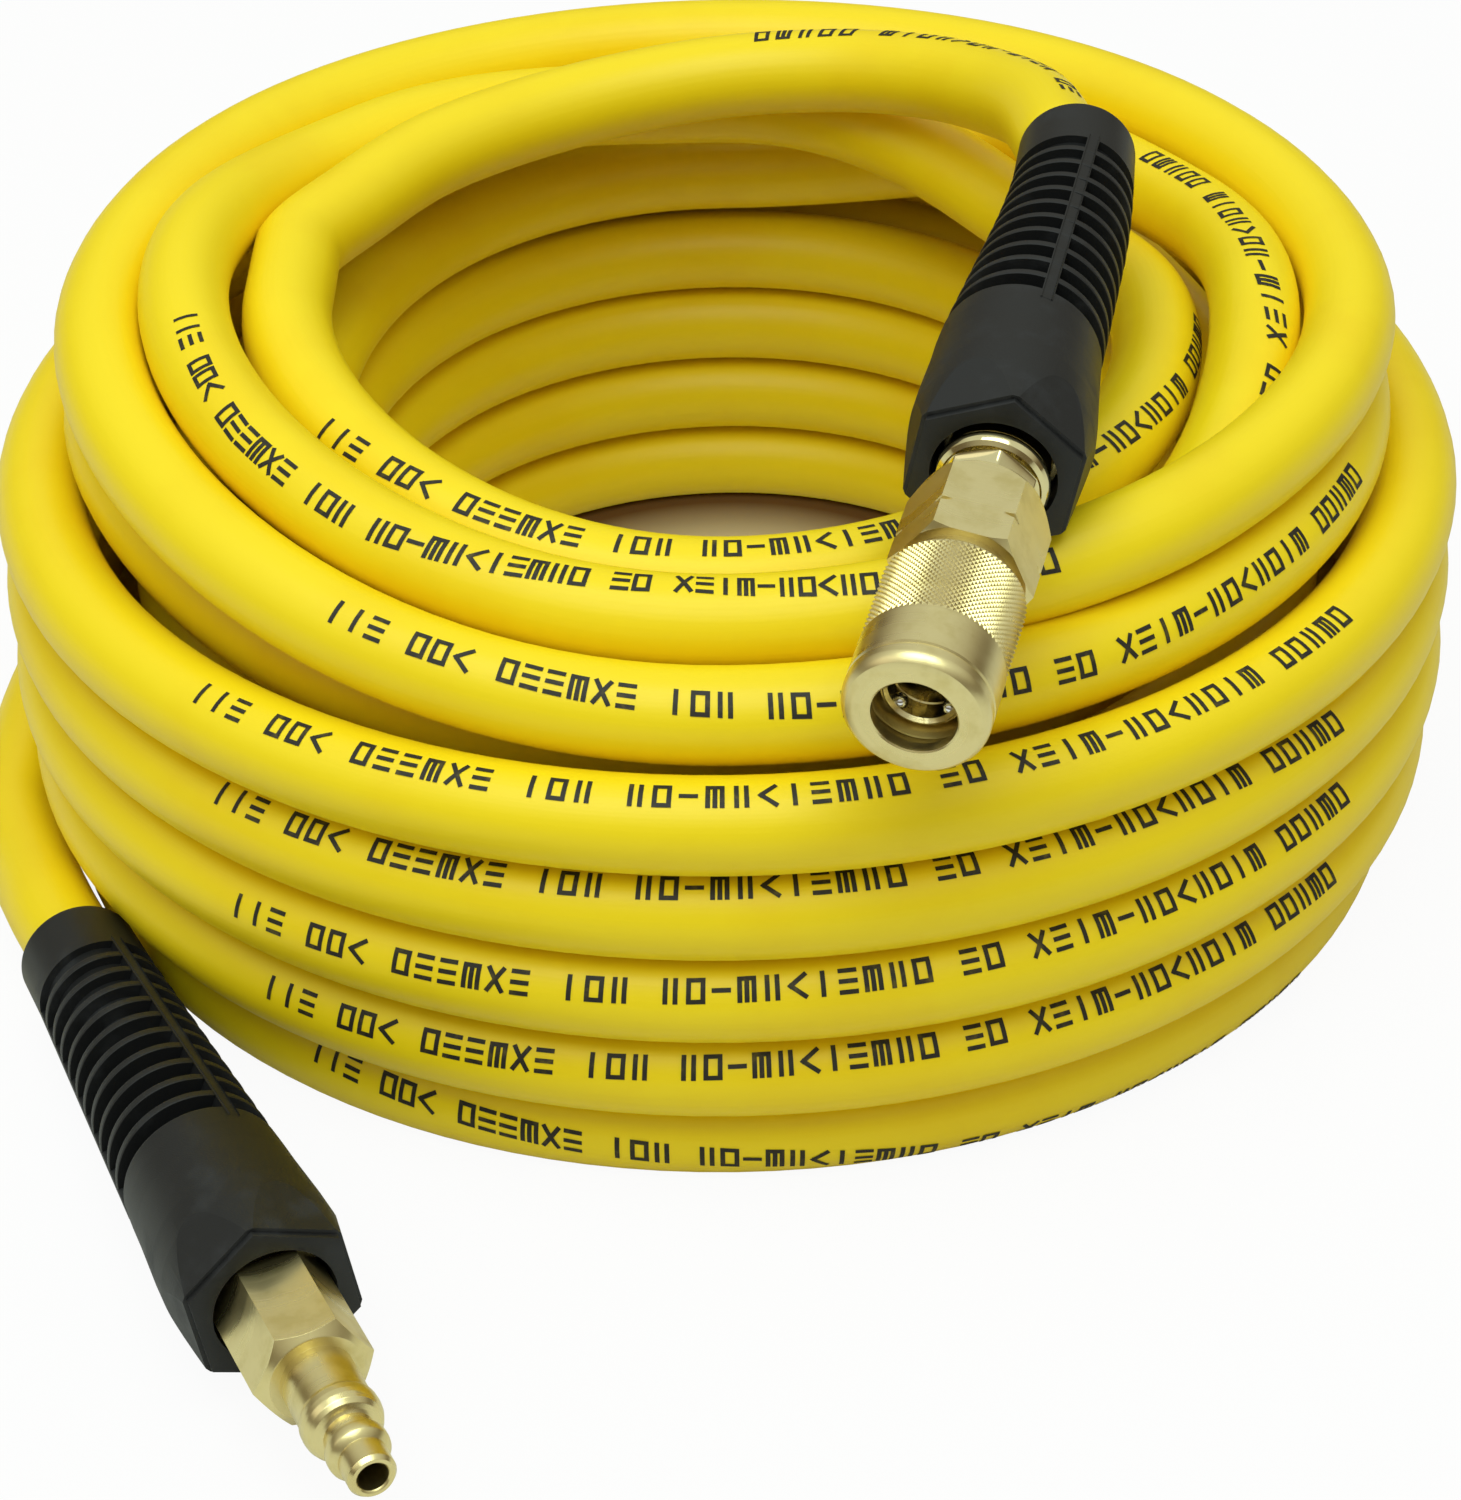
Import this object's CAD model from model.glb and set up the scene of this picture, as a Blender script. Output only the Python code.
"""Coiled air hose with a quick-connect plug and coupler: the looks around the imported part.

Shapes are worked in millimetres, +Z up with the floor at z = 0, and become metres as each
piece is set in place.
"""

from math import atan, atan2, cos, hypot, pi, radians, sin, sqrt

import bmesh
import bpy
from mathutils import Matrix, Vector


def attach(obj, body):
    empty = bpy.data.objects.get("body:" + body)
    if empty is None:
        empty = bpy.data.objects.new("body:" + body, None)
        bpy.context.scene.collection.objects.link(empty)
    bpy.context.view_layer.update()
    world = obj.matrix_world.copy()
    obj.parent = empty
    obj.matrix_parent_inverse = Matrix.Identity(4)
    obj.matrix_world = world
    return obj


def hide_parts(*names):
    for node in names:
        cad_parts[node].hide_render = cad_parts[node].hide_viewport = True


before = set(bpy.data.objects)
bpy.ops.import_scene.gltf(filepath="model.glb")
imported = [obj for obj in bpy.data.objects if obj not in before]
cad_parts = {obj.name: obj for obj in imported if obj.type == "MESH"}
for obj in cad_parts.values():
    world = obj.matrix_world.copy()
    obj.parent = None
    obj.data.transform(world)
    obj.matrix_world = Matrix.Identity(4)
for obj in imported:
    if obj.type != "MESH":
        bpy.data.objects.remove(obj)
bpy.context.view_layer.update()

# ---------------------------------------------------------------- camera
# A long lens looks down at the coil from in front and above, turned a little about its own
# line of sight. Colours are shown as they are written.
MM = 0.001
CAMERA_AT = Vector((3.96, -619.35, 430.6)) * MM
CAMERA_DROP = 0.587
CAMERA_ROLL = -0.015
CAMERA_LENS = 96.0
SENSOR_WIDTH = 36.0

camera_data = bpy.data.cameras.new("camera")
camera_data.lens = CAMERA_LENS
camera_data.sensor_width = SENSOR_WIDTH
camera_data.sensor_fit = "AUTO"
camera = bpy.data.objects.new("camera", camera_data)
bpy.context.scene.collection.objects.link(camera)
camera.matrix_world = (
    Matrix.Translation(CAMERA_AT)
    @ Matrix.Rotation(pi / 2 - CAMERA_DROP, 4, "X")
    @ Matrix.Rotation(CAMERA_ROLL, 4, "Z")
)
bpy.context.scene.camera = camera
bpy.context.scene.view_settings.view_transform = "Standard"

# ---------------------------------------------------------------- hose
# One length of smooth thermoplastic hose, extruded in bright yellow, wound in a tall coil:
# up the outer column, down the hidden one, up the inner one, then three loose turns.
# It is flattened a little where it lies on the floor.
HOSE_D = 16.0
TUBE_R = HOSE_D / 2
PITCH = HOSE_D + 0.5
FLOOR_Z = TUBE_R - 1.6
COIL_AT = Vector((3.96, 21.68, 0))
TURNS = 17
RINGS_A_TURN = 120
HOSE_SIDES = 30
# turn of the winding, its radius and its level, both in pitches
STATIONS = [
    (0, 8.15, 1), (0.25, 9.87, 1), (0.375, 9.35, 1), (0.5, 7.08, 1),
    (0.75, 7.08, 1), (1, 7.08, 1), (1.25, 8.85, 1), (1.5, 7.42, 2), (1.75, 7.42, 2),
    (2, 7.42, 2), (2.25, 8.85, 2), (2.5, 7.52, 3), (2.75, 7.52, 3), (3, 7.52, 3),
    (3.25, 8.85, 3), (3.5, 7.52, 4), (3.75, 7.52, 4), (4, 7.52, 4), (4.25, 8.85, 4),
    (4.5, 7.52, 5), (4.75, 7.52, 5), (5, 7.52, 5), (5.25, 7.85, 5), (5.5, 6.1, 4),
    (5.75, 6.45, 4), (6, 6.1, 4), (6.25, 7.78, 4), (6.5, 6.1, 3), (6.75, 6.15, 3),
    (7, 6.1, 3), (7.25, 7.78, 3), (7.5, 6.1, 2), (7.75, 6.1, 2), (8, 6.1, 2),
    (8.25, 7.78, 2), (8.5, 6, 1), (8.75, 6.04, 1), (9, 4.75, 1), (9.25, 6.72, 1),
    (9.5, 4.75, 1), (9.75, 5, 2), (10, 4.75, 2), (10.25, 6.72, 2), (10.5, 4.75, 2),
    (10.75, 5, 3), (11, 4.75, 3), (11.25, 6.72, 3), (11.5, 4.75, 3), (11.75, 5, 4),
    (12, 4.75, 4), (12.25, 6.72, 4), (12.5, 4.75, 4), (12.75, 5, 5), (13, 4.75, 5),
    (13.25, 6.68, 5.12), (13.4, 5.7, 6.55), (13.5, 5.72, 6.8), (13.625, 5.82, 5.85),
    (13.75, 6.05, 4.92), (13.875, 6.28, 5.15), (14, 6.75, 5.7), (14.25, 7.42, 5.95),
    (14.5, 6.75, 5.8), (14.75, 6.75, 5.75), (15, 6.72, 6.78), (15.125, 6.82, 6.8),
    (15.25, 6.85, 6.78), (15.375, 6.72, 6.85), (15.5, 6.74, 6.8), (15.625, 6.5, 6.72),
    (15.75, 5.8, 6.2), (16, 5.8, 7.15), (16.125, 5.81, 6.72), (16.25, 5.85, 6.4),
    (16.4, 4.75, 6.05), (16.5, 4.7, 6.3), (16.75, 4.75, 6), (17, 4.72, 6.8),
]


def wound(u):
    """Radius and level of the winding at turn u, eased between two stations."""
    after = next((i for i, s in enumerate(STATIONS) if s[0] > u), len(STATIONS) - 1)
    a, b = STATIONS[after - 1], STATIONS[after]
    t = (1 - cos(pi * (u - a[0]) / (b[0] - a[0]))) / 2
    return a[1] + (b[1] - a[1]) * t, a[2] + (b[2] - a[2]) * t


def centre(u):
    """Centre of the hose at turn u, about the coil's own axis."""
    radius, level = wound(u)
    turned = pi - 2 * pi * u
    return Vector((
        PITCH * radius * cos(turned), PITCH * radius * sin(turned), FLOOR_Z + PITCH * (level - 1)
    ))


def axis_of(bearing, rise):
    """The way something points, from its bearing and its rise in degrees."""
    b, e = radians(bearing), radians(rise)
    return Vector((cos(e) * cos(b), cos(e) * sin(b), sin(e)))


# where the two ends lie: the front of each bend restrictor and the way it points; the
# coupler droops a little from its restrictor, which bends again where its ribs begin
BOOT_RIB_LEN, BOOT_FRONT_LEN = 73.5, 35.0
PLUG_FRONT, PLUG_AIM = Vector((-71.7, -172.1, 16.6)), (-66.2, 3.0)
COUP_FRONT, COUP_AIM = Vector((41.8, -96.0, 118.5)), (-105.1, -8.4)
NOSE_AIM, REAR_AIM = (-100.3, -3.6), (-103.9, -2.0)
plug_axis, coup_axis = axis_of(*PLUG_AIM), axis_of(*COUP_AIM)
nose_axis, rear_axis = axis_of(*NOSE_AIM), axis_of(*REAR_AIM)
plug_rear = PLUG_FRONT - (BOOT_RIB_LEN + BOOT_FRONT_LEN) * plug_axis
coup_joint = COUP_FRONT - BOOT_FRONT_LEN * nose_axis
# behind its joint the coupler's restrictor curls aside, and the hose starts to bend inside it
BOOT_CURL, CURL_FROM = 0.0017, 35.0
HOSE_LEAN, LEAN_FROM = 0.0096, 59.0
curl_way = rear_axis.cross(Vector((0, 0, 1))).normalized()


def in_boot(back):
    """Centre of the hose in the coupler's restrictor, at a distance back from its joint."""
    aside = (BOOT_CURL * max(0.0, back - CURL_FROM) ** 2
             + HOSE_LEAN * max(0.0, back - LEAN_FROM) ** 2)
    return coup_joint - back * rear_axis + aside * curl_way


def smooth_run(points, steps):
    """Points smoothed between the second and the last but one, as the solids' route is."""
    out = []
    for a, b, c, d in zip(points, points[1:], points[2:], points[3:]):
        for k in range(steps):
            t = k / steps
            out.append(0.5 * (2 * b + (c - a) * t + (2 * a - 5 * b + 4 * c - d) * t * t
                              + (3 * b - a - 3 * c + d) * t ** 3))
    return out


def straight(a, b, step=5.0):
    """Points from a towards b, b left out."""
    count = max(1, round((b - a).length / step))
    return [a.lerp(b, k / count) for k in range(count)]


# each end runs on straight from the winding, then freely to its restrictor; the crimped end
# of the hose lies 9 mm behind the restrictor's front
LEAD = Vector((0, HOSE_D + 4, 0))
HOSE_END_Z = -9.0
BEND_Z = -18.0
coil_in, coil_out = centre(0), centre(TURNS)
plug_route = [
    coil_in, coil_in - LEAD, Vector((-129.3, -38, 7.4)),
    plug_rear - 18 * plug_axis, plug_rear - 4 * plug_axis, plug_rear + 10 * plug_axis,
]
coup_route = [
    coil_out, coil_out + LEAD, Vector((-69, 36.5, 102.8)),
    Vector((-54, 57, 104)), Vector((-30, 74, 105)), Vector((-2, 82.5, 107)),
    Vector((23, 79.5, 109.5)), Vector((40.5, 69, 112.5)), Vector((51.5, 54, 116)),
    Vector((58, 36, 120.3)), in_boot(77.5), in_boot(72.5), in_boot(66),
]
plug_end = PLUG_FRONT + HOSE_END_Z * plug_axis
coup_bend = COUP_FRONT + BEND_Z * nose_axis
coup_end = COUP_FRONT + HOSE_END_Z * coup_axis
plug_tail = (
    straight(coil_in, plug_route[1]) + smooth_run(plug_route, 10)
    + straight(plug_rear - 4 * plug_axis, plug_end) + [plug_end]
)
coup_tail = (
    straight(coil_out, coup_route[1]) + smooth_run(coup_route, 6)
    + [in_boot(72.5 - 3.5 * k) for k in range(20)]
    + straight(coup_joint + 6 * nose_axis, coup_bend) + [coup_bend, coup_end]
)
turns = [centre(k / RINGS_A_TURN) for k in range(1, TURNS * RINGS_A_TURN)]
route = [p + COIL_AT for p in plug_tail[::-1] + turns + coup_tail]
first_turn_ring = len(plug_tail) - 1

along = [0.0]
for a, b in zip(route, route[1:]):
    along.append(along[-1] + (b - a).length)


def square_to_route(i):
    """Sideways and upward directions square to the hose at point i of its route."""
    heading = (route[min(i + 1, len(route) - 1)] - route[max(i - 1, 0)]).normalized()
    side = Vector((0, 0, 1)).cross(heading).normalized()
    return side, heading.cross(side)


sections = [square_to_route(i) for i in range(len(route))]


def new_group(name, inputs, outputs):
    """A shader group with named sockets: (tree, its input node, its output node)."""
    tree = bpy.data.node_groups.new(name, "ShaderNodeTree")
    for label, kind, value in inputs:
        socket = tree.interface.new_socket(name=label, in_out="INPUT", socket_type=kind)
        if value is not None:
            socket.default_value = value
    for label, kind in outputs:
        tree.interface.new_socket(name=label, in_out="OUTPUT", socket_type=kind)
    return tree, tree.nodes.new("NodeGroupInput"), tree.nodes.new("NodeGroupOutput")


def add(tree, kind, wires=None, **settings):
    """A node with its settings, and its inputs as values or as the sockets that feed them."""
    node = tree.nodes.new(kind)
    for key, value in settings.items():
        setattr(node, key, value)
    for key, value in (wires or {}).items():
        if isinstance(value, bpy.types.NodeSocket):
            tree.links.new(value, node.inputs[key])
        else:
            node.inputs[key].default_value = value
    return node


def skin(name, **constants):
    """A material with one Principled shader whose plain values are set on its sockets."""
    material = bpy.data.materials.new(name)
    material.use_nodes = True
    shader = material.node_tree.nodes["Principled BSDF"]
    for key, value in constants.items():
        shader.inputs[key].default_value = value
    return material, material.node_tree, shader


def feed(tree, shader, **sources):
    """Wires sockets to the shader's inputs, such as its colour, roughness and normal."""
    for key, socket in sources.items():
        tree.links.new(socket, shader.inputs[key.replace("_", " ")])


def stand(name, mesh):
    """Puts a mesh in the scene as an object at the origin."""
    piece = bpy.data.objects.new(name, mesh)
    bpy.context.scene.collection.objects.link(piece)
    return piece


# soft blotches and specks, as handling and dust leave on plastic and rubber
mottle, mottle_in, mottle_out = new_group(
    "mottle",
    [("Vector", "NodeSocketVector", None), ("Size", "NodeSocketFloat", 40.0),
     ("Low", "NodeSocketFloat", 0.45), ("High", "NodeSocketFloat", 0.7)],
    [("Mask", "NodeSocketFloat"), ("Fine", "NodeSocketFloat")],
)
blotch = add(mottle, "ShaderNodeTexNoise", {
    "Vector": mottle_in.outputs["Vector"], "Scale": mottle_in.outputs["Size"],
    "Detail": 4.0, "Roughness": 0.6})
blotch_mask = add(mottle, "ShaderNodeMapRange", {
    "Value": blotch.outputs["Fac"], "From Min": mottle_in.outputs["Low"],
    "From Max": mottle_in.outputs["High"]}, interpolation_type="SMOOTHSTEP")
fine_scale = add(mottle, "ShaderNodeMath", {
    0: mottle_in.outputs["Size"], 1: 40.0}, operation="MULTIPLY")
fine = add(mottle, "ShaderNodeTexNoise", {
    "Vector": mottle_in.outputs["Vector"], "Scale": fine_scale.outputs[0], "Detail": 2.0})
mottle.links.new(blotch_mask.outputs["Result"], mottle_out.inputs["Mask"])
mottle.links.new(fine.outputs["Fac"], mottle_out.inputs["Fine"])

# the skin keeps faint lines along the hose, where it was drawn from the extruder
HOSE_YELLOW = (0.94, 0.70, 0.006, 1)
HOSE_DEEP = (0.92, 0.66, 0.004, 1)
hose_skin, tree, shader = skin("hose_yellow", IOR=1.4)
uv = add(tree, "ShaderNodeUVMap", uv_map="along_hose")
place = add(tree, "ShaderNodeTexCoord")
blotches = add(tree, "ShaderNodeGroup", {
    "Vector": place.outputs["Object"], "Size": 26.0}, node_tree=mottle)
lines = add(tree, "ShaderNodeMapping", {"Vector": uv.outputs[0], "Scale": (1.5, 46.0, 1.0)})
drawn = add(tree, "ShaderNodeTexNoise", {
    "Vector": lines.outputs[0], "Scale": 1.0, "Detail": 3.0, "Roughness": 0.55})
colour = add(tree, "ShaderNodeMix", {
    "Factor": blotches.outputs["Mask"], "A": HOSE_YELLOW, "B": HOSE_DEEP}, data_type="RGBA")
rough = add(tree, "ShaderNodeMapRange", {
    "Value": drawn.outputs["Fac"], "To Min": 0.34, "To Max": 0.5})
relief = add(tree, "ShaderNodeMath", {
    0: blotches.outputs["Fine"], 1: 0.25, 2: drawn.outputs["Fac"]}, operation="MULTIPLY_ADD")
bump = add(tree, "ShaderNodeBump", {
    "Strength": 0.16, "Distance": 0.0002, "Height": relief.outputs[0]})
feed(tree, shader, Base_Color=colour.outputs["Result"], Roughness=rough.outputs["Result"],
     Normal=bump.outputs["Normal"])

points, faces = [], []
for middle, (side, up) in zip(route, sections):
    for j in range(HOSE_SIDES):
        angle = 2 * pi * j / HOSE_SIDES
        point = middle + TUBE_R * (cos(angle) * side + sin(angle) * up)
        points.append((point.x * MM, point.y * MM, max(0.0, point.z) * MM))
for i in range(len(route) - 1):
    for j in range(HOSE_SIDES):
        after = (j + 1) % HOSE_SIDES
        faces.append((i * HOSE_SIDES + j, i * HOSE_SIDES + after,
                      (i + 1) * HOSE_SIDES + after, (i + 1) * HOSE_SIDES + j))
faces.append(tuple(range(HOSE_SIDES))[::-1])
faces.append(tuple((len(route) - 1) * HOSE_SIDES + j for j in range(HOSE_SIDES)))
hose_mesh = bpy.data.meshes.new("hose")
hose_mesh.from_pydata(points, [], faces)
uv_values = []
for i in range(len(route) - 1):
    for j in range(HOSE_SIDES):
        v0, v1 = j / HOSE_SIDES, (j + 1) / HOSE_SIDES
        s0, s1 = along[i] * MM, along[i + 1] * MM
        uv_values += [s0, v0, s0, v1, s1, v1, s1, v0]
uv_values += [0.0, 0.0] * (2 * HOSE_SIDES)
hose_mesh.uv_layers.new(name="along_hose").data.foreach_set("uv", uv_values)
hose_mesh.polygons.foreach_set("use_smooth", [True] * len(faces))
hose_mesh.materials.append(hose_skin)
hose_mesh.validate()
hose_exit = route[0] * MM
if sum(f.normal.dot(f.center - hose_exit) for f in hose_mesh.polygons[:HOSE_SIDES]) < 0:
    hose_mesh.flip_normals()
hose = stand("hose", hose_mesh)
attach(hose, "hose")
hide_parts("hose_coil", "hose_plug_tail", "hose_coupler_tail", "hose_plug_end",
            "hose_coupler_end")

# ---------------------------------------------------------------- printed marks
# A line of black ink marks repeats along the hose, about 200 mm long where it isn't cut
# short: ticks, bars, boxes and arrows, rolled on by the wheel that follows the extruder.
INK_HEIGHT, INK_WIDTH = 3.5, 2.2
INK_STROKE = 0.75
INK_STEP = 4.25
INK_LIFT = 0.07
INK_GRAIN = 0.9
SHORT_LINE = 150.0
# turn of the winding, then angle round the hose, along each printed line
INK_LINES = [
    [(0.60, -32), (0.65, -42), (0.70, -36), (0.74, -10), (0.79, 8), (0.85, 36)],
    [(1.60, 36), (1.65, 42), (1.73, 43), (1.80, 30), (1.855, 27)],
    [(2.60, 43), (2.68, 47), (2.74, 43), (2.81, 30), (2.86, 25)],
    [(3.605, 45), (3.65, 61), (3.74, 65), (3.80, 58), (3.865, 54)],
    [(4.60, 69), (4.70, 71), (4.80, 69), (4.87, 65)],
    [(14.565, 41), (14.62, 37), (14.67, 27), (14.73, 40), (14.80, 58), (14.845, 57)],
    [(13.415, 98), (13.444, 96), (13.476, 98), (13.508, 86), (13.532, 62), (13.55, 48),
     (13.568, 44)],
    [(15.668, 42), (15.72, 70), (15.76, 85), (15.80, 74), (15.85, 48), (15.90, 54),
     (15.955, 84)],
    [(16.505, 22), (16.528, 26), (16.556, 36), (16.58, 48), (16.66, 78), (16.76, 82),
     (16.81, 70), (16.86, 62), (16.905, 45)],
    [(17.25, 92), (17.36, 75), (17.43, 64), (17.475, 62)],
]
# strokes of each mark, as x0, y0, x1, y1 in shares of its width and height
INK_MARKS = {
    "tick": [(0.5, 0, 0.5, 1)],
    "double": [(0.15, 0, 0.15, 1), (0.85, 0, 0.85, 1)],
    "dash": [(0, 0.5, 1, 0.5)],
    "arrow": [(0, 0, 1, 0.5), (1, 0.5, 0, 1)],
    "box": [(0, 0, 1, 0), (1, 0, 1, 1), (1, 1, 0, 1), (0, 1, 0, 0)],
    "comb": [(0, 0, 1, 0), (0, 0, 0, 1), (0.5, 0, 0.5, 1), (1, 0, 1, 1)],
    "cross": [(0, 0, 1, 1), (0, 1, 1, 0)],
    "bars": [(0, 0, 1, 0), (0, 0.5, 1, 0.5), (0, 1, 1, 1)],
}
INK_ORDER = (
    "box comb double box box . comb tick box double arrow box double dash comb tick bars "
    "cross . box bars . box double comb bars tick arrow double comb dash box double . "
    "double box tick . bars cross comb bars bars box . arrow box box . bars tick tick"
).split()


def on_hose(distance, angle, lift=0.0):
    """Point on the hose's skin, at a distance along it and an angle round it."""
    low, high = 0, len(along) - 2
    while low < high:
        middle = (low + high + 1) // 2
        low, high = (middle, high) if along[middle] <= distance else (low, middle - 1)
    t = (distance - along[low]) / (along[low + 1] - along[low])
    middle = route[low].lerp(route[low + 1], t)
    side = sections[low][0].lerp(sections[low + 1][0], t)
    up = sections[low][1].lerp(sections[low + 1][1], t)
    point = middle + (TUBE_R + lift) * (cos(angle) * side + sin(angle) * up)
    return Vector((point.x, point.y, max(0.0, point.z)))


def distance_of(u):
    """Distance along the hose at turn u; past the last turn, u goes on along the tail."""
    ring = first_turn_ring + u * RINGS_A_TURN
    i = int(ring)
    return along[i] + (along[i + 1] - along[i]) * (ring - i)


def ink_stroke(bm, x0, y0, x1, y1):
    """A straight stroke of ink in the flat, in pieces short enough to wrap round the hose."""
    length = hypot(x1 - x0, y1 - y0) + INK_STROKE
    turn = Matrix.Rotation(atan2(y1 - y0, x1 - x0), 4, "Z")
    shift = Matrix.Translation(((x0 + x1) / 2, (y0 + y1) / 2, 0))
    scale = Matrix.Diagonal((length / 2, INK_STROKE / 2, 1, 1))
    bmesh.ops.create_grid(bm, x_segments=max(1, round(length / INK_GRAIN)), y_segments=1,
                          size=1, matrix=shift @ turn @ scale)


def pour(part, whole):
    """Adds one bmesh to another and frees it."""
    mesh = bpy.data.meshes.new("part")
    part.to_mesh(mesh)
    part.free()
    whole.from_mesh(mesh)
    bpy.data.meshes.remove(mesh)


def print_line(line, ink):
    """Prints one line of marks on the hose, along its turns and angles."""
    start, end = distance_of(line[0][0]), distance_of(line[-1][0])
    knots = [(distance_of(u) - start, radians(angle)) for u, angle in line]
    order = INK_ORDER if end - start > SHORT_LINE else INK_ORDER[:round((end - start) / INK_STEP)]
    for k, kind in enumerate(order):
        if kind == ".":
            continue
        x = (end - start) * (k + 0.5) / len(order)
        flat = bmesh.new()
        for x0, y0, x1, y1 in INK_MARKS[kind]:
            ink_stroke(flat, (x0 - 0.5) * INK_WIDTH, (y0 - 0.5) * INK_HEIGHT,
                       (x1 - 0.5) * INK_WIDTH, (y1 - 0.5) * INK_HEIGHT)
        (d0, a0), (d1, a1) = next((p, q) for p, q in zip(knots, knots[1:]) if x <= q[0] + 1e-6)
        for v in flat.verts:
            s = x + v.co.x
            angle = a0 + (a1 - a0) * (s - d0) / (d1 - d0)
            v.co = on_hose(start + s, angle - v.co.y / TUBE_R, INK_LIFT) * MM
        pour(flat, ink)


ink_skin, tree, shader = skin("black_ink", Roughness=0.55, IOR=1.4)
place = add(tree, "ShaderNodeTexCoord")
wear = add(tree, "ShaderNodeGroup", {
    "Vector": place.outputs["Object"], "Size": 420.0, "Low": 0.5, "High": 0.8},
    node_tree=mottle)
colour = add(tree, "ShaderNodeMix", {
    "Factor": wear.outputs["Mask"], "A": (0.018, 0.015, 0.010, 1), "B": (0.10, 0.075, 0.012, 1)},
    data_type="RGBA")
feed(tree, shader, Base_Color=colour.outputs["Result"])

ink_bm = bmesh.new()
for line in INK_LINES:
    print_line(line, ink_bm)
ink_mesh = bpy.data.meshes.new("ink_marks")
ink_bm.to_mesh(ink_mesh)
ink_bm.free()
ink_mesh.materials.append(ink_skin)
ink = stand("ink_marks", ink_mesh)
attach(ink, "hose")

# ---------------------------------------------------------------- bend restrictors
# Moulded black elastomer sleeves, pushed over the crimped ends: a collar, thin ribs joined by
# three spines so that the sleeve bends with the hose, a plain flaring part and a hexagonal
# front with a raised face.
BOOT_WINDOWS = 11
COLLAR_LEN = 13.0
WINDOW_STEP = (BOOT_RIB_LEN - COLLAR_LEN) / BOOT_WINDOWS
RIB_W = 0.3 * WINDOW_STEP
BOOT_BORE_R, WALL_R, COLLAR_R, JOINT_R = 8.3, 9.3, 10.4, 13.6
FRONT_R = 15.0
FACE_RISE = 1.2
FLAT_LEAN = 0.153
CAVITY_R, CAVITY_Z = 10.2, -33.0
SPINE_W = 1.7
SUNK = 0.4
BEND_LEN = 16.0
# angle of the first spine and of a corner of the hexagon, at each end of the hose
PLUG_SPINE, PLUG_BOOT_CORNER = 36, 9.3
COUP_SPINE, COUP_BOOT_CORNER = 41, 47.9


def local_frame(front, aim):
    """Matrix whose +Z is a fitting's axis, with z = 0 at the front of its boot."""
    return (Matrix.Translation(front + COIL_AT) @ Matrix.Rotation(radians(aim[0]), 4, "Z")
            @ Matrix.Rotation(radians(90 - aim[1]), 4, "Y"))


at_plug = local_frame(PLUG_FRONT, PLUG_AIM)
at_coupler = local_frame(COUP_FRONT, COUP_AIM)
at_nose = local_frame(COUP_FRONT, NOSE_AIM)
at_rear = local_frame(coup_joint, REAR_AIM) @ Matrix.Translation((0, 0, BOOT_FRONT_LEN))


def held_outline(profile, closed, long_run=0.9, hold=0.12):
    """An outline with a point close to each end of its long runs, which keeps them flat."""
    out = []
    for a, b in zip(profile, profile[1:] + profile[:1] if closed else profile[1:]):
        a, b = Vector(a), Vector(b)
        length = (b - a).length
        out.append(a)
        if length > long_run:
            out += [a.lerp(b, hold / length), b.lerp(a, hold / length)]
    return out if closed else out + [Vector(profile[-1])]


def turn_profile(profile, steps=96, closed=False):
    """A piece turned from an outline of (radius, z) points."""
    bm = bmesh.new()
    ring = [bm.verts.new((r, 0, z)) for r, z in held_outline(profile, closed)]
    edges = [bm.edges.new(pair) for pair in zip(ring, ring[1:])]
    if closed:
        edges.append(bm.edges.new((ring[-1], ring[0])))
    bmesh.ops.spin(bm, geom=ring + edges, cent=(0, 0, 0), axis=(0, 0, 1), dvec=(0, 0, 0),
                   angle=2 * pi, steps=steps, use_merge=True, use_duplicate=False)
    bmesh.ops.remove_doubles(bm, verts=bm.verts, dist=1e-4)
    bmesh.ops.recalc_face_normals(bm, faces=bm.faces)
    return bm


def round_over(bm, edges, width, segments=2):
    """Rounds some edges."""
    bmesh.ops.bevel(bm, geom=edges, offset=width, offset_type="OFFSET", segments=segments,
                    profile=0.5, affect="EDGES", material=-1, clamp_overlap=True)


def ease_edges(bm, width, sharper_than=28, segments=2, where=None):
    """Rounds every edge that turns by more than an angle."""
    edges = [e for e in bm.edges if len(e.link_faces) == 2
             and e.calc_face_angle(0) > radians(sharper_than) and (where is None or where(e))]
    round_over(bm, edges, width, segments)


def cut_flat(bm, point, normal):
    """Cuts away what lies beyond a plane and closes the cut with one flat."""
    cut = bmesh.ops.bisect_plane(bm, geom=bm.verts[:] + bm.edges[:] + bm.faces[:], dist=1e-5,
                                 plane_co=point, plane_no=normal, clear_outer=True)
    rim = [e for e in cut["geom_cut"] if isinstance(e, bmesh.types.BMEdge)]
    bmesh.ops.contextual_create(bm, geom=rim)


def flat_ways(corner_angle):
    """The six ways that a hexagon's flats face."""
    angles = [radians(corner_angle + 30 + 60 * k) for k in range(6)]
    return [Vector((cos(angle), sin(angle), 0)) for angle in angles]


def flats(bm, across_flats, corner_angle, slope=0.0):
    """Six flats round the axis; slope is how far each leans in towards the front."""
    for out in flat_ways(corner_angle):
        cut_flat(bm, out * across_flats / 2, (out + Vector((0, 0, slope))).normalized())


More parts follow.
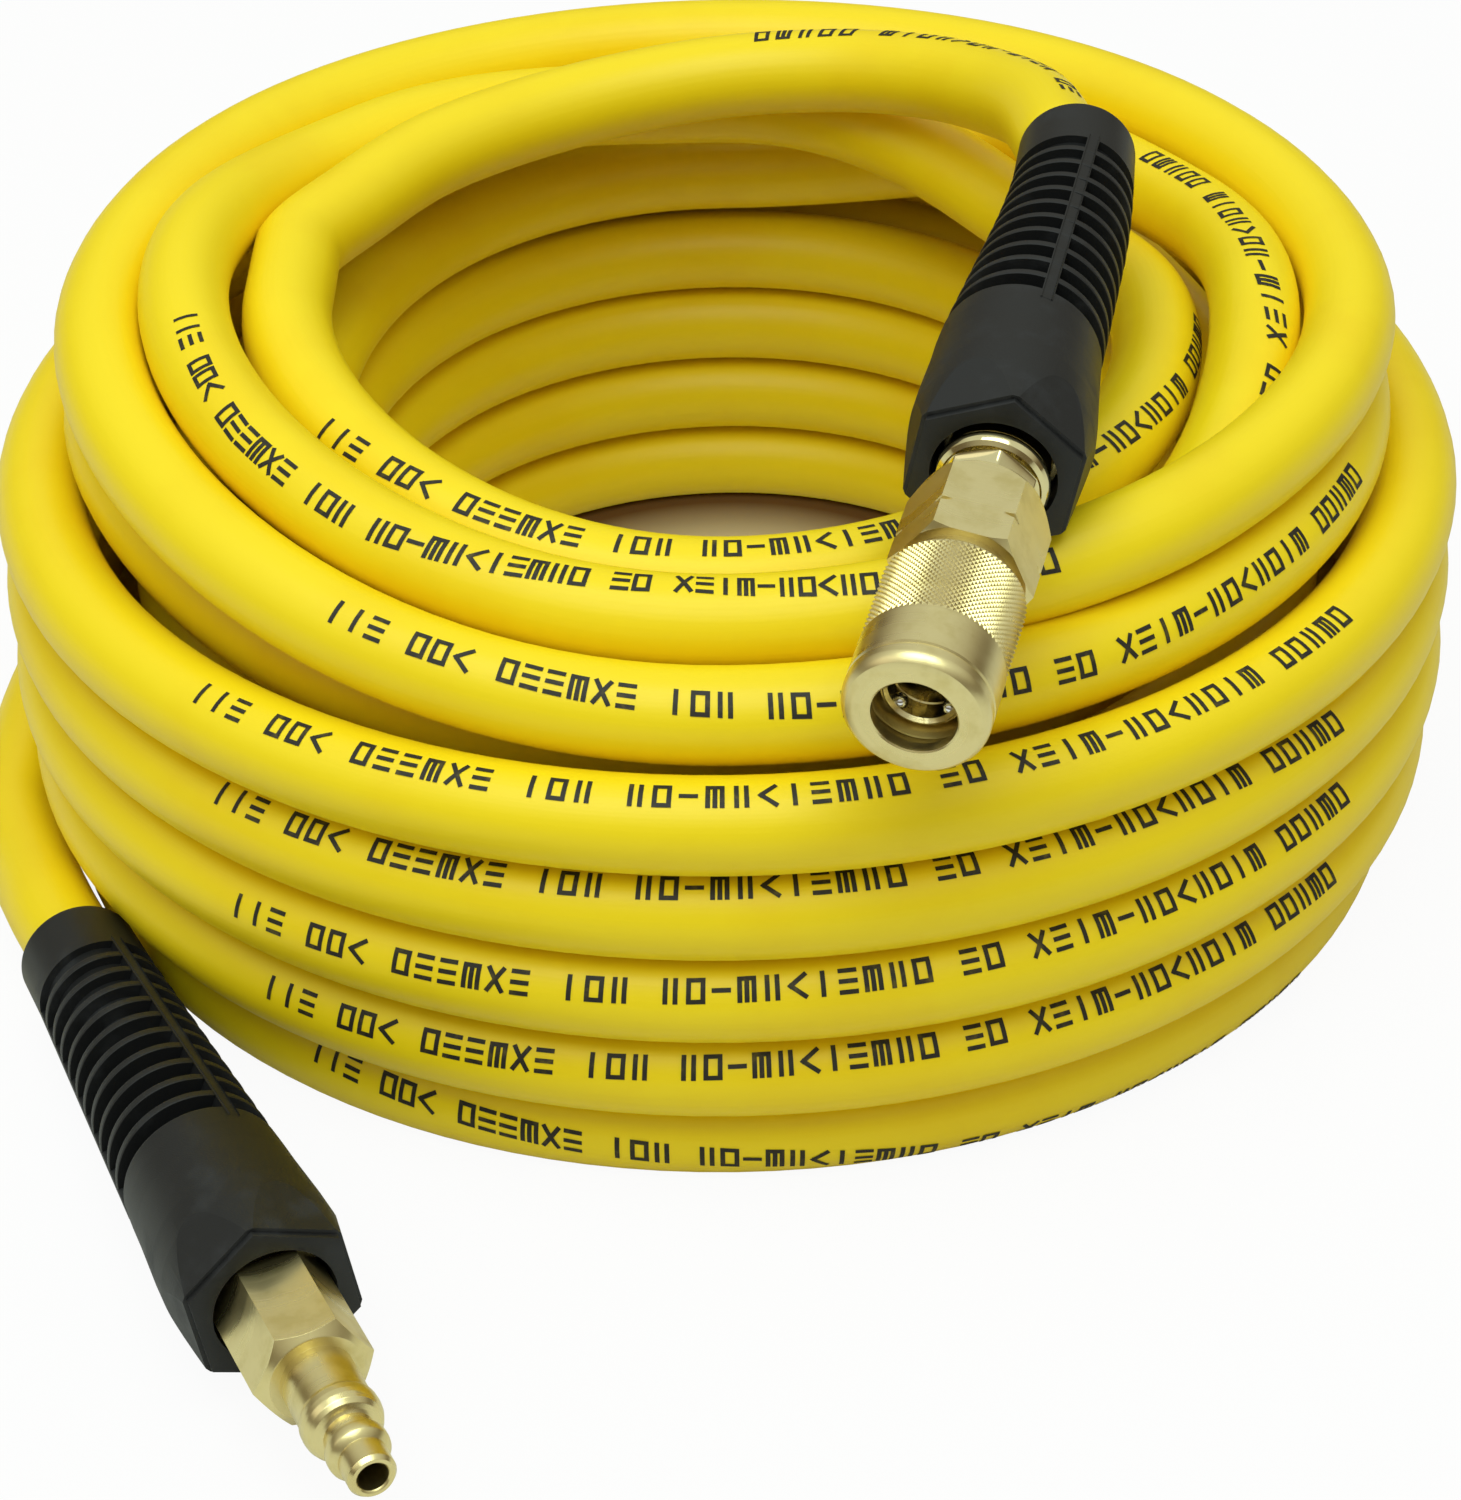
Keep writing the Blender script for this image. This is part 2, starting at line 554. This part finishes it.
def set_piece(bm, name, where, material, body, crease=30):
    """Sets a shape in place, gives it its skin and shading, and rides it on its body."""
    grain = bm.loops.layers.uv.new("turned")
    for face in bm.faces:
        face.smooth = True
        base = None
        for loop in face.loops:
            x, y, z = loop.vert.co
            share = atan2(y, x) / (2 * pi)
            base = share if base is None else base
            share += round(base - share)
            loop[grain].uv = (share, (z + hypot(x, y)) * MM)
    for edge in bm.edges:
        cut = any(len(f.verts) > 4 for f in edge.link_faces)
        edge.smooth = edge.calc_face_angle(0) < radians(2 if cut else crease)
    if callable(where):
        for v in bm.verts:
            v.co = where(v.co)
    else:
        bmesh.ops.transform(bm, matrix=where, verts=bm.verts)
    bmesh.ops.scale(bm, vec=(MM, MM, MM), verts=bm.verts)
    mesh = bpy.data.meshes.new(name)
    bm.to_mesh(mesh)
    bm.free()
    mesh.materials.append(material)
    piece = stand(name, mesh)
    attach(piece, body)
    return piece


def bent(point):
    """The coupler's boot bends where its ribs begin, then curls aside towards its collar."""
    t = min(1.0, max(0.0, (BEND_LEN / 2 - BOOT_FRONT_LEN - point.z) / BEND_LEN))
    t = t * t * (3 - 2 * t)
    back = max(0.0, -BOOT_FRONT_LEN - point.z - CURL_FROM)
    tilt = atan(2 * BOOT_CURL * back)
    curled = Vector((point.x, point.y * cos(tilt) - BOOT_CURL * back * back,
                     point.z - point.y * sin(tilt)))
    return (at_nose @ point).lerp(at_rear @ curled, t)


def rib_outer(z):
    """Outer radius of the ribbed part: z from the joint, back to the collar."""
    start = COLLAR_LEN - BOOT_RIB_LEN
    return COLLAR_R + 0.3 + (JOINT_R - COLLAR_R - 0.3) * (z - start) / -start


boot_skin, tree, shader = skin("boot_black", IOR=1.45)
place = add(tree, "ShaderNodeTexCoord")
scuffs = add(tree, "ShaderNodeGroup", {
    "Vector": place.outputs["Object"], "Size": 95.0, "Low": 0.5, "High": 0.78},
    node_tree=mottle)
colour = add(tree, "ShaderNodeMix", {
    "Factor": scuffs.outputs["Mask"], "A": (0.0075, 0.0078, 0.0086, 1),
    "B": (0.022, 0.023, 0.026, 1)}, data_type="RGBA")
rough = add(tree, "ShaderNodeMapRange", {
    "Value": scuffs.outputs["Mask"], "To Min": 0.48, "To Max": 0.66})
bump = add(tree, "ShaderNodeBump", {
    "Strength": 0.3, "Distance": 0.00008, "Height": scuffs.outputs["Fine"]})
feed(tree, shader, Base_Color=colour.outputs["Result"], Roughness=rough.outputs["Result"],
     Normal=bump.outputs["Normal"])


def boot_ribs(name, where, spine_angle):
    """Collar, inner wall, ribs and spines, with z = 0 at the front of the boot."""
    joint = -BOOT_FRONT_LEN
    rear = joint - BOOT_RIB_LEN
    collar_end = rear + COLLAR_LEN
    shape = turn_profile([
        (BOOT_BORE_R, rear), (COLLAR_R, rear), (COLLAR_R + 0.3, collar_end),
        (WALL_R, collar_end), (WALL_R, joint + 2), (BOOT_BORE_R, joint + 2)], closed=True)
    ease_edges(shape, 0.7, sharper_than=50, segments=3,
               where=lambda e: all(v.co.z < rear + 0.1 for v in e.verts))
    for k in range(1, BOOT_WINDOWS + 1):
        z1 = collar_end + k * WINDOW_STEP
        z0 = z1 - RIB_W
        z1 = z1 + (2 if k == BOOT_WINDOWS else 0)
        outer0, outer1 = rib_outer(z0 - joint), rib_outer(z1 - joint)
        pour(turn_profile([
            (WALL_R - SUNK, z0), (outer0 - 0.1, z0), (outer0, z0 + 0.3), (outer1, z1 - 0.3),
            (outer1 - 0.1, z1), (WALL_R - SUNK, z1)], closed=True), shape)
    for k in range(3):
        turn = Matrix.Rotation(radians(spine_angle + 120 * k), 4, "Z")
        made = bmesh.ops.create_cube(shape, size=1)["verts"]
        for v in made:
            z = joint + 1 if v.co.z > 0 else collar_end - 1
            radius = rib_outer(z - joint) + 0.05 if v.co.x > 0 else WALL_R - SUNK
            v.co = turn @ Vector((radius, SPINE_W * v.co.y, z))
        round_over(shape, list({e for v in made for e in v.link_edges}), 0.25)
    return set_piece(shape, name, where, boot_skin, "hose", crease=40)


def boot_nose(name, where, corner_angle):
    """Plain flaring part with six curved-edged flats, the raised face and the mouth."""
    shape = turn_profile([
        (BOOT_BORE_R, -BOOT_FRONT_LEN), (JOINT_R, -BOOT_FRONT_LEN), (JOINT_R + 0.2, -32),
        (FRONT_R - 0.95, -27), (FRONT_R - 0.6, -22), (FRONT_R - 0.25, -17), (FRONT_R, -11),
        (FRONT_R, -FACE_RISE), (CAVITY_R, -FACE_RISE)], 144)
    flats(shape, 2 * (FRONT_R + 0.1) * cos(pi / 6), corner_angle, slope=FLAT_LEAN)
    ease_edges(shape, 0.45, sharper_than=9, segments=2,
               where=lambda e: min(hypot(v.co.x, v.co.y) for v in e.verts) > CAVITY_R + 1
               and not all(abs(v.co.z + BOOT_FRONT_LEN) < 0.01 for v in e.verts))
    face = bmesh.new()
    depth = FACE_RISE + 0.2
    bmesh.ops.create_cone(face, cap_ends=False, segments=6, radius1=FRONT_R - 0.5,
                          radius2=FRONT_R - 0.5, depth=depth,
                          matrix=Matrix.Translation((0, 0, -depth / 2))
                          @ Matrix.Rotation(radians(corner_angle + 30), 4, "Z"))
    pour(turn_profile([(CAVITY_R, CAVITY_Z), (CAVITY_R, 0.0)], 96), face)
    front_rims = [e for e in face.edges if e.is_boundary
                  and all(abs(v.co.z) < 1e-4 for v in e.verts)]
    bmesh.ops.triangle_fill(face, edges=front_rims, use_beauty=True, normal=(0, 0, 1))
    ease_edges(face, 0.3, sharper_than=20, segments=2)
    pour(face, shape)
    bmesh.ops.recalc_face_normals(shape, faces=shape.faces)
    return set_piece(shape, name, where, boot_skin, "hose", crease=25)


boot_ribs("plug_boot_ribs", at_plug, PLUG_SPINE)
plug_nose = boot_nose("plug_boot_front", at_plug, PLUG_BOOT_CORNER)
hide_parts("plug_boot")
coupler_ribs = boot_ribs("coupler_boot_ribs", bent, COUP_SPINE)
coupler_nose = boot_nose("coupler_boot_front", bent, COUP_BOOT_CORNER)
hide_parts("coupler_boot")

# ---------------------------------------------------------------- plug
# Turned from hexagonal brass bar: the hexagon's corners are chamfered at the front, then come
# a cylinder, a rounded ring, the neck the coupler's balls hold, the collar and the nose. The
# brass is pale and satin, with the tool's fine lines round the axis.
PLUG_AF, PLUG_CORNER = 17.0, 34
plug_corner_r = PLUG_AF / sqrt(3)

turning, turning_in, turning_out = new_group(
    "turning_lines",
    [("Vector", "NodeSocketVector", None), ("Lines", "NodeSocketFloat", 2500.0)],
    [("Height", "NodeSocketFloat"), ("Mask", "NodeSocketFloat")],
)
split = add(turning, "ShaderNodeSeparateXYZ", {0: turning_in.outputs["Vector"]})
round_way = add(turning, "ShaderNodeMath", {0: split.outputs[0], 1: 5.0}, operation="MULTIPLY")
across_way = add(turning, "ShaderNodeMath", {
    0: split.outputs[1], 1: turning_in.outputs["Lines"]}, operation="MULTIPLY")
joined = add(turning, "ShaderNodeCombineXYZ", {0: round_way.outputs[0], 1: across_way.outputs[0]})
tool_lines = add(turning, "ShaderNodeTexNoise", {
    "Vector": joined.outputs[0], "Scale": 1.0, "Detail": 3.0, "Roughness": 0.6})
broad = add(turning, "ShaderNodeTexNoise", {
    "Vector": joined.outputs[0], "Scale": 0.12, "Detail": 2.0})
turning.links.new(tool_lines.outputs["Fac"], turning_out.inputs["Height"])
turning.links.new(broad.outputs["Fac"], turning_out.inputs["Mask"])


def turned_brass(name, light, dark, rough_low, rough_high, line_depth):
    """Turned brass, its colour and gloss varying along the tool lines."""
    material, tree, shader = skin(name, Metallic=1.0)
    uv = add(tree, "ShaderNodeUVMap", uv_map="turned")
    cut = add(tree, "ShaderNodeGroup", {"Vector": uv.outputs[0]}, node_tree=turning)
    place = add(tree, "ShaderNodeTexCoord")
    haze = add(tree, "ShaderNodeGroup", {
        "Vector": place.outputs["Object"], "Size": 160.0}, node_tree=mottle)
    both = add(tree, "ShaderNodeMath", {
        0: cut.outputs["Mask"], 1: haze.outputs["Mask"]}, operation="MULTIPLY")
    colour = add(tree, "ShaderNodeMix", {
        "Factor": both.outputs[0], "A": light, "B": dark}, data_type="RGBA")
    rough = add(tree, "ShaderNodeMapRange", {
        "Value": cut.outputs["Mask"], "From Min": 0.3, "From Max": 0.7,
        "To Min": rough_low, "To Max": rough_high})
    bump = add(tree, "ShaderNodeBump", {
        "Strength": line_depth, "Distance": 0.00005, "Height": cut.outputs["Height"]})
    feed(tree, shader, Base_Color=colour.outputs["Result"], Roughness=rough.outputs["Result"],
         Normal=bump.outputs["Normal"])
    return material


satin_brass = turned_brass(
    "satin_brass", (0.80, 0.68, 0.34, 1), (0.64, 0.52, 0.20, 1), 0.24, 0.36, 0.35)
plug_shape = turn_profile([
    (6.65, -5.2), (plug_corner_r - 1.1, -5.2), (plug_corner_r + 0.2, -4.4),
    (plug_corner_r + 0.2, 17.7), (plug_corner_r - 2.2, 19.5), (6.0, 19.5), (6.0, 28.6),
    (6.2, 29.1), (6.4, 29.5), (6.45, 30.6), (6.35, 31.6), (6.0, 32.6), (5.4, 33.3),
    (4.5, 33.7), (4.1, 34.0), (4.1, 36.2), (4.6, 36.5), (4.95, 36.9), (5.0, 37.4),
    (5.0, 38.2), (4.9, 38.8), (4.4, 39.4), (3.85, 39.8), (3.85, 43.9), (3.35, 44.6),
    (2.75, 44.6), (2.45, 44.3), (2.45, 3.9), (6.65, 3.9)], 144, closed=True)
flats(plug_shape, PLUG_AF, PLUG_CORNER)
ease_edges(plug_shape, 0.15, sharper_than=24, segments=1)
plug = set_piece(plug_shape, "plug_turned", at_plug, satin_brass, "hose", crease=24)
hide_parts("plug")

# ---------------------------------------------------------------- coupler stem
# Bright brass stem: its rounded collar shows in the boot's mouth, then a small hexagon and
# the thread that enters the rear of the coupler. The barb is crimped into the hose.
SMALL_AF, SMALL_CORNER = 13.4, 47
SMALL_Z0, SMALL_Z1, SMALL_INNER_R = 2.6, 8.05, 6.5

bright_brass = turned_brass(
    "bright_brass", (0.80, 0.70, 0.38, 1), (0.66, 0.53, 0.22, 1), 0.08, 0.14, 0.1)
stem_shape = turn_profile([
    (2.5, -31.5), (4.05, -31.5), (4.75, -29.6), (4.35, -29.4), (4.75, -25), (4.35, -24.4),
    (4.75, -20), (4.35, -19.4), (4.75, -15), (4.75, -8.5), (5.9, -8.5), (5.9, -7.3),
    (8.4, -7.3), (8.4, -0.7), (8.9, -0.5), (9.2, 0.1), (9.3, 0.8), (9.2, 1.4), (8.9, 2.0),
    (8.2, 2.5), (7.9, 2.5), (7.9, 7.7), (7.4, 8.1), (6.2, 8.1), (6.2, 19.6), (5.6, 20.6),
    (2.5, 20.6)], 144, closed=True)
hexagon = [f for f in stem_shape.faces if SMALL_Z0 < f.calc_center_median().z < SMALL_Z1
           and hypot(*f.calc_center_median().xy) > SMALL_INNER_R]
for out in flat_ways(SMALL_CORNER):
    for v in {v for f in hexagon for v in f.verts}:
        beyond = v.co.dot(out) - SMALL_AF / 2
        if beyond > 0:
            v.co -= out * beyond
stem = set_piece(stem_shape, "coupler_stem_bright", at_coupler, bright_brass, "hose",
                 crease=24)
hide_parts("coupler_stem")

# ---------------------------------------------------------------- coupler hexagon
# Hexagonal rear piece of the coupler, turned from brass bar and chamfered at the back, with
# a shallow nick turned across each corner. The socket screws into its front.
ADAPTER_AF, ADAPTER_CORNER = 20.0, 20
HEX_Z0, HEX_Z1 = 8.6, 26.0
corner_r = ADAPTER_AF / sqrt(3)

adapter_shape = turn_profile([
    (6.62, HEX_Z0), (8.1, HEX_Z0), (corner_r - 1.6, HEX_Z0), (corner_r + 0.2, HEX_Z0 + 2.6),
    (corner_r + 0.2, 19.0), (corner_r - 0.75, 19.3), (corner_r - 0.75, 19.7),
    (corner_r + 0.2, 20.1), (corner_r + 0.2, HEX_Z1 - 0.8), (corner_r - 1.2, HEX_Z1),
    (8.9, HEX_Z1), (8.9, 30.0), (7.42, 30.0), (7.42, 23.0), (4.4, 23.0), (4.4, 20.6),
    (6.2, 20.6)], 144, closed=True)
flats(adapter_shape, ADAPTER_AF, ADAPTER_CORNER)
ease_edges(adapter_shape, 0.15, sharper_than=24, segments=1)
adapter = set_piece(adapter_shape, "coupler_hexagon", at_coupler, satin_brass, "hose",
                    crease=24)
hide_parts("coupler_adapter")

# ---------------------------------------------------------------- sliding sleeve
# The brass sleeve that is drawn back to free the plug: a diamond knurl rolled on behind, a
# plain band with a groove in front, a rounded lip, and the ramp for the balls inside.
SLEEVE_R = 11.4
REAR_Z, FACE_Z = 29.1, 58.0
KNURL_Z0, KNURL_Z1 = 29.7, 45.3
KNURL_AROUND, KNURL_ROWS = 74, 15
KNURL_DEPTH = 0.32
BORE_SIDE_R = 10.5

sleeve_shape = turn_profile([
    (9.15, REAR_Z), (SLEEVE_R - 0.75, REAR_Z), (SLEEVE_R - 0.35, KNURL_Z0),
    (SLEEVE_R - 0.35, KNURL_Z1), (SLEEVE_R - 0.02, KNURL_Z1 + 0.35),
    (SLEEVE_R, KNURL_Z1 + 0.6), (SLEEVE_R, 53.7), (SLEEVE_R - 0.3, 53.95),
    (SLEEVE_R - 0.3, 54.35), (SLEEVE_R, 54.6), (SLEEVE_R, 56.0), (SLEEVE_R - 0.12, 56.6),
    (SLEEVE_R - 0.45, 57.2), (SLEEVE_R - 1.0, 57.7), (SLEEVE_R - 1.7, 57.95),
    (SLEEVE_R - 2.1, FACE_Z), (6.85, FACE_Z), (6.6, 57.8), (6.55, 57.4), (6.55, 56.0),
    (8.13, 56.0), (8.13, 53.3), (6.55, 49.0), (6.55, 46.0), (9.15, 46.0)], 128, closed=True)
plain_band = [f for f in sleeve_shape.faces if KNURL_Z0 < f.calc_center_median().z < KNURL_Z1
              and hypot(*f.calc_center_median().xy) > BORE_SIDE_R]
bmesh.ops.delete(sleeve_shape, geom=plain_band, context="FACES_ONLY")
# the knurl starts as a flat grid of diamonds, which is rolled up round the sleeve
knurl = bmesh.new()
columns, rows = 2 * KNURL_AROUND, 2 * KNURL_ROWS
bmesh.ops.create_grid(knurl, x_segments=columns, y_segments=rows, size=0.5)
valleys = []
for v in knurl.verts:
    i, j = round((v.co.x + 0.5) * columns), round((v.co.y + 0.5) * rows)
    if (i + j) % 2:
        valleys.append(v)
    peak = (i + j) % 2 == 0 and j not in (0, rows)
    radius = SLEEVE_R - (0 if peak else KNURL_DEPTH)
    angle = 2 * pi * i / columns
    v.co = Vector((radius * cos(angle), radius * sin(angle),
                   KNURL_Z0 + (KNURL_Z1 - KNURL_Z0) * j / rows))
bmesh.ops.connect_verts(knurl, verts=valleys)
bmesh.ops.remove_doubles(knurl, verts=knurl.verts, dist=1e-3)
pour(knurl, sleeve_shape)
sleeve = set_piece(sleeve_shape, "sleeve_knurled", at_coupler, satin_brass, "sleeve",
                   crease=20)
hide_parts("coupler_sleeve")

# ---------------------------------------------------------------- inside the coupler
# The brass socket and poppet, the steel balls and springs, and the rubber seals lie inside
# and keep the solids' own shapes; the crimped sleeves and the plug's stem do too.
seal_rubber, tree, shader = skin("seal_rubber", IOR=1.5)
place = add(tree, "ShaderNodeTexCoord")
grease = add(tree, "ShaderNodeGroup", {
    "Vector": place.outputs["Object"], "Size": 500.0}, node_tree=mottle)
colour = add(tree, "ShaderNodeMix", {
    "Factor": grease.outputs["Mask"], "A": (0.012, 0.012, 0.012, 1), "B": (0.03, 0.03, 0.03, 1)},
    data_type="RGBA")
rough = add(tree, "ShaderNodeMapRange", {
    "Value": grease.outputs["Mask"], "To Min": 0.25, "To Max": 0.45})
feed(tree, shader, Base_Color=colour.outputs["Result"], Roughness=rough.outputs["Result"])


def inner_metal(name, light, dark, rough_low, rough_high):
    """A metal for the solids' own meshes, whose gloss varies in soft patches."""
    material, tree, shader = skin(name, Metallic=1.0)
    place = add(tree, "ShaderNodeTexCoord")
    haze = add(tree, "ShaderNodeGroup", {
        "Vector": place.outputs["Object"], "Size": 300.0}, node_tree=mottle)
    colour = add(tree, "ShaderNodeMix", {
        "Factor": haze.outputs["Mask"], "A": light, "B": dark}, data_type="RGBA")
    rough = add(tree, "ShaderNodeMapRange", {
        "Value": haze.outputs["Mask"], "To Min": rough_low, "To Max": rough_high})
    feed(tree, shader, Base_Color=colour.outputs["Result"], Roughness=rough.outputs["Result"])
    return material


brass_inside = inner_metal("brass_inside", (0.72, 0.62, 0.34, 1), (0.6, 0.48, 0.22, 1), 0.2, 0.32)
steel_inside = inner_metal("steel_inside", (0.6, 0.6, 0.61, 1), (0.45, 0.45, 0.46, 1), 0.2, 0.3)
ball_inside = inner_metal("ball_inside", (0.88, 0.88, 0.89, 1), (0.8, 0.8, 0.82, 1), 0.03, 0.06)
for material, nodes in (
    (brass_inside, ("plug_ferrule", "coupler_ferrule", "plug_stem", "coupler_body",
                    "valve_poppet")),
    (steel_inside, ("sleeve_spring", "valve_spring", "valve_guide")),
    (ball_inside, ("ball_1", "ball_2", "ball_3", "ball_4")),
    (seal_rubber, ("nose_seal", "valve_seal")),
):
    for node in nodes:
        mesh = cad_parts[node].data
        mesh.materials.clear()
        mesh.materials.append(material)

# ---------------------------------------------------------------- floor and light
# A plain white floor that glows for the camera alone, so that it stays white without more
# light on the coil, under a pale overhead softbox and a weak one on the left.
FLOOR_DROP = 0.0004
FLOOR_GLOW = 0.94
FLOOR_WHITE = (0.72, 0.72, 0.70, 1)
OPENING_AT = (COIL_AT + Vector((0, 14, 0))) * MM
OPENING_HALF = (0.070, 0.089, 1.0)

floor_bm = bmesh.new()
bmesh.ops.create_grid(floor_bm, x_segments=1, y_segments=1, size=4.0)
floor_mesh = bpy.data.meshes.new("floor")
floor_bm.to_mesh(floor_mesh)
floor_bm.free()
floor = stand("floor", floor_mesh)
floor.location.z = -FLOOR_DROP
floor_skin, tree, shader = skin("floor_white", Roughness=0.9)
glow = add(tree, "ShaderNodeEmission", {"Color": (1, 1, 1, 1), "Strength": 1.0})
rays = add(tree, "ShaderNodeLightPath")
# inside the coil, whose opening is an oval, the floor keeps its own shade
spot = add(tree, "ShaderNodeTexCoord")
from_middle = add(tree, "ShaderNodeVectorMath", {
    0: spot.outputs["Object"], 1: OPENING_AT}, operation="SUBTRACT")
in_oval = add(tree, "ShaderNodeVectorMath", {
    0: from_middle.outputs["Vector"], 1: OPENING_HALF}, operation="DIVIDE")
outwards = add(tree, "ShaderNodeVectorMath", {0: in_oval.outputs["Vector"]}, operation="LENGTH")
outside = add(tree, "ShaderNodeMapRange", {
    "Value": outwards.outputs["Value"], "From Min": 1.15, "From Max": 1.45})
seen = add(tree, "ShaderNodeMath", {
    0: rays.outputs["Is Camera Ray"], 1: FLOOR_GLOW}, operation="MULTIPLY")
glowing = add(tree, "ShaderNodeMath", {
    0: seen.outputs[0], 1: outside.outputs["Result"]}, operation="MULTIPLY")
# and is browned by the hose's own colour, most at the foot of the winding
foot = add(tree, "ShaderNodeMapRange", {
    "Value": outwards.outputs["Value"], "From Min": 0.84, "From Max": 1.0})
browned = add(tree, "ShaderNodeMix", {
    "Factor": foot.outputs["Result"], "A": (0.60, 0.50, 0.34, 1), "B": (0.12, 0.05, 0.01, 1)},
    data_type="RGBA")
unseen = add(tree, "ShaderNodeMath", {
    0: 1.0, 1: rays.outputs["Is Camera Ray"]}, operation="SUBTRACT")
kept_white = add(tree, "ShaderNodeMath", {
    0: unseen.outputs[0], 1: outside.outputs["Result"]}, operation="MAXIMUM")
shade = add(tree, "ShaderNodeMix", {
    "Factor": kept_white.outputs[0], "A": browned.outputs["Result"], "B": FLOOR_WHITE},
    data_type="RGBA")
feed(tree, shader, Base_Color=shade.outputs["Result"])
surface = add(tree, "ShaderNodeMixShader", {
    0: glowing.outputs[0], 1: shader.outputs[0], 2: glow.outputs[0]})
tree.links.new(surface.outputs[0], tree.nodes["Material Output"].inputs["Surface"])
floor_mesh.materials.append(floor_skin)

# the studio round the coil: dim and warm low down, pale overhead, white for the camera
SKY = (
    (0.0, (0.20, 0.16, 0.10)), (0.22, (0.24, 0.20, 0.14)), (0.40, (0.60, 0.58, 0.48)),
    (0.75, (0.94, 1.0, 0.94)),
)
world = bpy.data.worlds.new("studio")
bpy.context.scene.world = world
world.use_nodes = True
tree = world.node_tree
sky = add(tree, "ShaderNodeTexCoord")
sky_parts = add(tree, "ShaderNodeSeparateXYZ", {0: sky.outputs["Generated"]})
sky_colour = add(tree, "ShaderNodeValToRGB", {"Fac": sky_parts.outputs["Z"]})
bands = sky_colour.color_ramp.elements
bands.remove(bands[1])
for height, tint in SKY:
    band = bands[0] if height == 0 else bands.new(height)
    band.position = height
    band.color = (*tint, 1)
studio = tree.nodes["Background"]
studio.inputs["Strength"].default_value = 0.74
tree.links.new(sky_colour.outputs["Color"], studio.inputs["Color"])
white = add(tree, "ShaderNodeBackground", {"Color": (1, 1, 1, 1), "Strength": 1.0})
rays = add(tree, "ShaderNodeLightPath")
choose = add(tree, "ShaderNodeMixShader", {
    0: rays.outputs["Is Camera Ray"], 1: studio.outputs[0], 2: white.outputs[0]})
tree.links.new(choose.outputs[0], tree.nodes["World Output"].inputs["Surface"])

COIL_MIDDLE = Vector((0, 0, 0.06))


def softbox(name, at, size, power, colour):
    """A square softbox at a point, aimed at the middle of the coil."""
    data = bpy.data.lights.new(name, "AREA")
    data.size = size
    data.color = colour
    data.energy = power
    lamp = bpy.data.objects.new(name, data)
    aim = (COIL_MIDDLE - Vector(at)).to_track_quat("-Z", "Y")
    lamp.matrix_world = Matrix.Translation(at) @ aim.to_matrix().to_4x4()
    bpy.context.scene.collection.objects.link(lamp)


softbox("overhead", (-0.1, -0.5, 1.45), 1.2, 13.6, (0.87, 1.0, 0.92))
softbox("left", (-1.2, -0.5, 0.9), 0.8, 1.0, (1.0, 0.95, 0.85))
